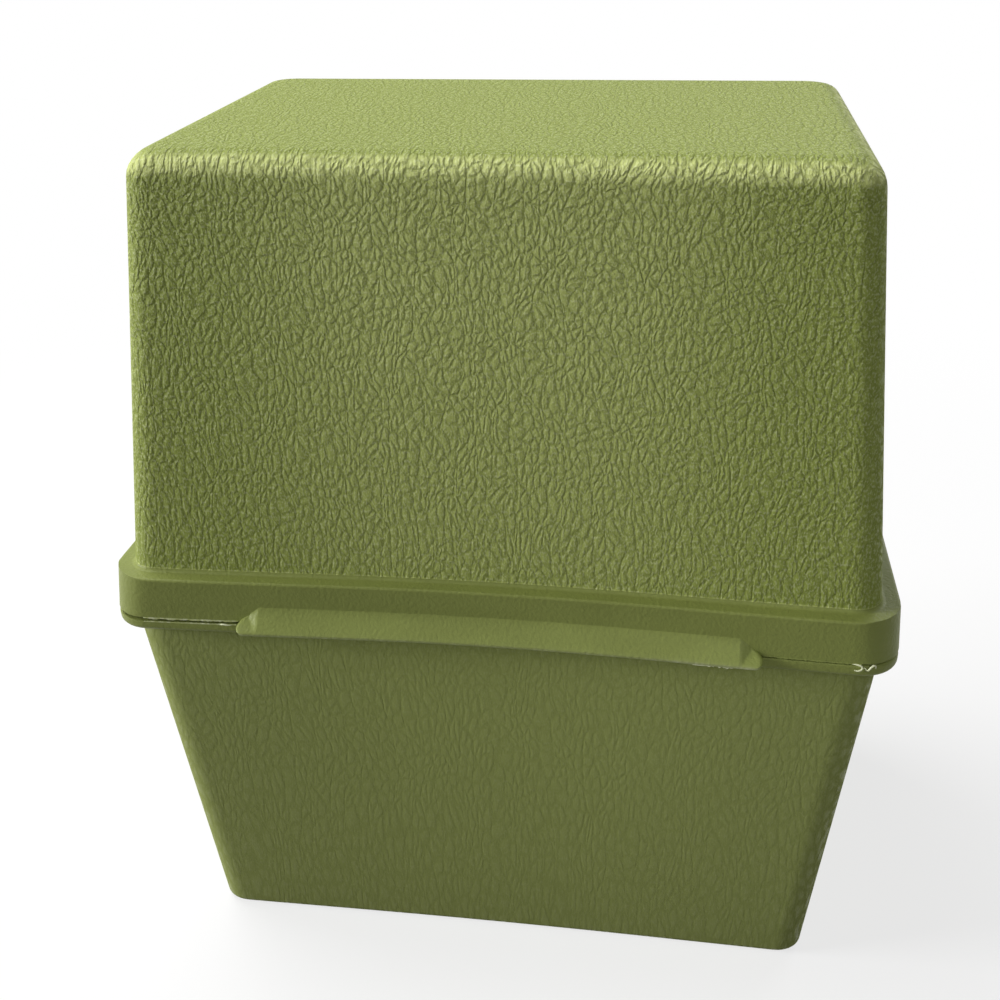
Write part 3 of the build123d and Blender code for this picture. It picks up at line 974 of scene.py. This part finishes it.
class RECIPEBOX_OT_flash(bpy.types.Operator):
    """Model the ragged moulding flash along the parting line"""

    bl_idname = "recipe_box.flash"
    bl_label = "Moulding flash"

    def execute(self, context):
        sizes = context.scene.recipe_box_shells
        colours = context.scene.recipe_box_colours
        whitened = whitened_polypropylene("whitened_polypropylene", colours, 0.1)
        torn = whitened_polypropylene("torn_polypropylene", colours, 0.38)
        rubbed = bpy.data.materials["rubbed_and_highlighted_polypropylene"]
        hinge = context.scene.recipe_box_hinge
        left = hinge.shift + hinge.span / 2
        right = hinge.shift - hinge.span / 2
        end = sizes.rim_width / 2 - sizes.rim_radius
        # Name, body, height, way it stands, ends along the rim, reach in millimetres and seed of the tear
        ribbons = [
            ("lid_flash_left", "lid", sizes.band_bottom, DOWN, left, end, 0.26, 3.0),
            ("base_flash_left", "base", sizes.flange_top, UP, left, end, 0.16, 19.0),
            ("lid_flash_right", "lid", sizes.band_bottom, DOWN, -end, right, 0.16, 11.0),
            ("base_flash_right", "base", sizes.flange_top, UP, -end, right, 0.07, 31.0),
        ]
        # Millimetres along the rim, off the wall and up
        short_curl = [(54, 0, 83.7), (53.2, 0.2, 84.1), (52.2, 0.25, 83.8), (51.2, 0, 83.9)]
        hook = [(-67.6, 0, 84.5), (-69.1, 0.2, 84.5), (-69.7, 0.4, 83.9)]
        hook += [(-68.8, 0.5, 83.2), (-68.1, 0.4, 83.4)]
        wave = [(-69.9, 0.2, 84), (-70.5, 0.5, 83.2), (-71.2, 0.5, 84.5), (-72, 0.4, 84.5), (-72, 0.2, 83.7)]
        curls = [
            ("base_curl", "base", short_curl),
            ("lid_curl_inner", "lid", hook),
            ("lid_curl_outer", "lid", wave),
            ("fold_nick_long", "base", self.nick(-38.6, -42.6, hinge, sizes)),
            ("fold_nick_short", "base", self.nick(-43.4, -46.1, hinge, sizes)),
        ]
        made = [
            (self.ribbon(name, *row, sizes), body, torn if "left" in name else rubbed)
            for name, body, *row in ribbons
        ]
        made += [(self.curl(name, points, sizes), body, whitened) for name, body, points in curls]
        for piece, body, material in made:
            piece.data.materials.clear()
            piece.data.materials.append(material)
            if body == "base":
                warp_flange(piece, sizes)
            bow_walls(piece, sizes)
            finish_mesh(piece, body)
        return {"FINISHED"}

    def ribbon(self, name, height, way, low, high, reach, seed, sizes):
        """A thin strip whose free edge is torn unevenly and runs out to nothing at its ends."""
        steps = 140
        thickness = 0.12 * MM
        rooted = 0.25 * MM
        wall = sizes.rim_depth / 2 - thickness / 2
        bpy.ops.mesh.primitive_grid_add(x_subdivisions=steps, y_subdivisions=1, size=1)
        ribbon = newest(name)
        for vertex in ribbon.data.vertices:
            x = low + (high - low) * (vertex.co.x + 0.5)
            if vertex.co.y < 0:
                vertex.co = (x, wall, height - way * rooted)
                continue
            ends = smooth_step(0, 2 * MM, min(x - low, high - x))
            long_tear = noise.noise((x / (1.7 * MM), seed, 0))
            fine_tear = noise.noise((x / (0.5 * MM), seed, 5))
            tear = 0.45 + 0.6 * long_tear + 0.6 * fine_tear
            lean = 0.12 * MM * noise.noise((x / (2.5 * MM), seed, 9))
            vertex.co = (x, wall + lean, height + way * reach * ends * max(0.05, tear) * MM)
        start_editing(ribbon)
        close_skin()
        bpy.ops.object.modifier_add(type="SOLIDIFY")
        ribbon.modifiers[-1].thickness = thickness
        ribbon.modifiers[-1].offset = 0
        bpy.ops.object.modifier_apply(modifier=ribbon.modifiers[-1].name)
        return ribbon

    def nick(self, start, stop, hinge, sizes):
        """Points of a thread that has been rubbed up along the fold's lower edge, uneven as a tear."""
        count = 16
        unevenness = 0.35
        off = (hinge.nose - 0.18 * MM - sizes.rim_depth / 2) / MM
        height = (hinge.foot + hinge.fold_rise + 0.08 * MM) / MM
        places = [start + (stop - start) * at / (count - 1) for at in range(count)]
        return [(x, off, height + unevenness * noise.noise((x * 2.1, 4.0, 0))) for x in places]

    def curl(self, name, points, sizes):
        """A curled thread of flash, through points given by place along, distance off the wall and height."""
        bpy.ops.curve.primitive_nurbs_path_add()
        line = bpy.context.object.data
        line.splines.clear()
        spline = line.splines.new("NURBS")
        spline.points.add(len(points) - 1)
        spline.use_endpoint_u = True
        spline.order_u = 3
        straight = sizes.rim_width / 2 - sizes.rim_radius
        rooted = 0.1 * MM
        for point, (x, off, z) in zip(spline.points, points):
            turned = max(0.0, abs(x * MM) - straight)
            wall = sizes.rim_depth / 2 - sizes.rim_radius + math.sqrt(sizes.rim_radius**2 - turned**2)
            point.co = (x * MM, wall - rooted + off * MM, z * MM, 1)
            point.radius = 0.5 if point in (spline.points[0], spline.points[-1]) else 1.0
        line.bevel_depth = (0.09 if "nick" in name else 0.19) * MM
        line.bevel_resolution = 3
        line.use_fill_caps = True
        bpy.ops.object.convert(target="MESH")
        thread = newest(name)
        start_editing(thread)
        merge_doubles()
        close_skin()
        return thread


class RECIPEBOX_OT_contents(bpy.types.Operator):
    """Finish the dividers and the cards"""

    bl_idname = "recipe_box.contents"
    bl_label = "Cards and dividers"

    def execute(self, context):
        colours = context.scene.recipe_box_colours
        card = index_card_stock(colours)
        board = pressboard(colours)
        for number in SECTIONS:
            self.dress(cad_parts[f"section_{number}_cards"], card)
            self.dress(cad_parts[f"divider_{number}"], board)
        return {"FINISHED"}

    def dress(self, node, material):
        """Gives a CAD node one material all over."""
        node.data.materials.clear()
        node.data.materials.append(material)


class RECIPEBOX_OT_stage(bpy.types.Operator):
    """Set the floor, the light and the camera"""

    bl_idname = "recipe_box.stage"
    bl_label = "Stage"

    def execute(self, context):
        stage = context.scene.recipe_box_stage
        self.lay_floor()
        self.light_room(context.scene, stage)
        # Name, place, aim, size in metres and power
        lamps = [
            ("side_window", (1.45, 0.34, 0.45), (0, 0.03, 0.1), 0.5, stage.window),
            ("overhead_softbox", (0.42, -0.2, 1.0), (0, 0, 0.15), 0.6, stage.overhead),
            ("bounce_card", (-0.16, 0.36, 0.26), (0, 0.03, 0.1), 0.18, stage.card),
            ("fill_softbox", (0.0, 0.8, 0.9), (0, 0.03, 0.1), 0.6, stage.fill),
            ("front_softbox", (-0.65, -1.0, 0.7), (0, 0, 0.1), 0.6, stage.front),
        ]
        for lamp in lamps:
            self.soft_box(*lamp)
        self.place_camera(context.scene, stage)
        context.scene.view_settings.view_transform = "Standard"
        return {"FINISHED"}

    def lay_floor(self):
        """A wide paper floor."""
        bpy.ops.mesh.primitive_plane_add(size=12)
        floor = newest("paper_floor")
        floor.data.materials.append(seamless_paper())

    def light_room(self, scene, stage):
        """Even room light, seen by the camera and in reflections as plain white."""
        world = bpy.data.worlds.new("white_room")
        world.use_nodes = True
        tree = world.node_tree
        tree.nodes.clear()
        strength = add_node(tree, "MapRange", {"Value": seen_directly(tree), **between(0, 1, stage.ambient)})
        room = add_node(tree, "Background", {"Color": hex_colour("#ffffff"), "Strength": strength})
        add_node(tree, "OutputWorld", {"Surface": room})
        scene.world = world

    def soft_box(self, name, place, aim, size, watts):
        """A square area lamp of a size in metres, turned towards a place on the box."""
        lamp = bpy.data.lights.new(name, "AREA")
        lamp.size = size
        lamp.energy = watts
        holder = bpy.data.objects.new(name, lamp)
        bpy.context.scene.collection.objects.link(holder)
        holder.location = place
        holder.visible_camera = False
        holder.rotation_euler = (Vector(aim) - Vector(place)).to_track_quat("-Z", "Y").to_euler()

    def place_camera(self, scene, stage):
        """The photograph's view of the back."""
        camera = bpy.data.objects.new("camera", bpy.data.cameras.new("camera"))
        scene.collection.objects.link(camera)
        camera.data.sensor_width = 36
        camera.data.lens = stage.camera_lens
        camera.data.clip_start = 0.01
        camera.data.clip_end = 50
        look = (Vector(stage.camera_aim) - Vector(stage.camera_place)).to_track_quat("-Z", "Y").to_matrix()
        roll = Matrix.Rotation(stage.camera_roll, 3, "Z")
        camera.matrix_world = Matrix.Translation(stage.camera_place) @ (look @ roll).to_4x4()
        scene.camera = camera


class RECIPEBOX_PT_panel(bpy.types.Panel):
    """Buttons for each piece of the box"""

    bl_label = "Recipe Box"
    bl_idname = "RECIPEBOX_PT_panel"
    bl_space_type = "VIEW_3D"
    bl_region_type = "UI"
    bl_category = "Recipe Box"

    def draw(self, context):
        for operator in OPERATORS:
            self.layout.operator(operator.bl_idname)
        for group in GROUPS:
            settings = getattr(context.scene, group)
            for name in settings.__annotations__:
                self.layout.prop(settings, name)


OPERATORS = (
    RECIPEBOX_OT_lid,
    RECIPEBOX_OT_base,
    RECIPEBOX_OT_hinge,
    RECIPEBOX_OT_flash,
    RECIPEBOX_OT_contents,
    RECIPEBOX_OT_stage,
)
GROUPS = {
    "recipe_box_shells": ShellSizes,
    "recipe_box_hinge": HingeSizes,
    "recipe_box_colours": FinishColours,
    "recipe_box_stage": StageSettings,
}


def register():
    for group, kind in GROUPS.items():
        bpy.utils.register_class(kind)
        setattr(bpy.types.Scene, group, PointerProperty(type=kind))
    for operator in OPERATORS:
        bpy.utils.register_class(operator)
    bpy.utils.register_class(RECIPEBOX_PT_panel)


def unregister():
    bpy.utils.unregister_class(RECIPEBOX_PT_panel)
    for operator in reversed(OPERATORS):
        bpy.utils.unregister_class(operator)
    for group, kind in reversed(GROUPS.items()):
        delattr(bpy.types.Scene, group)
        bpy.utils.unregister_class(kind)


def main():
    register()
    bpy.ops.recipe_box.lid()
    bpy.ops.recipe_box.base()
    bpy.ops.recipe_box.hinge()
    bpy.ops.recipe_box.flash()
    bpy.ops.recipe_box.contents()
    bpy.ops.recipe_box.stage()


if __name__ == "__main__":
    main()
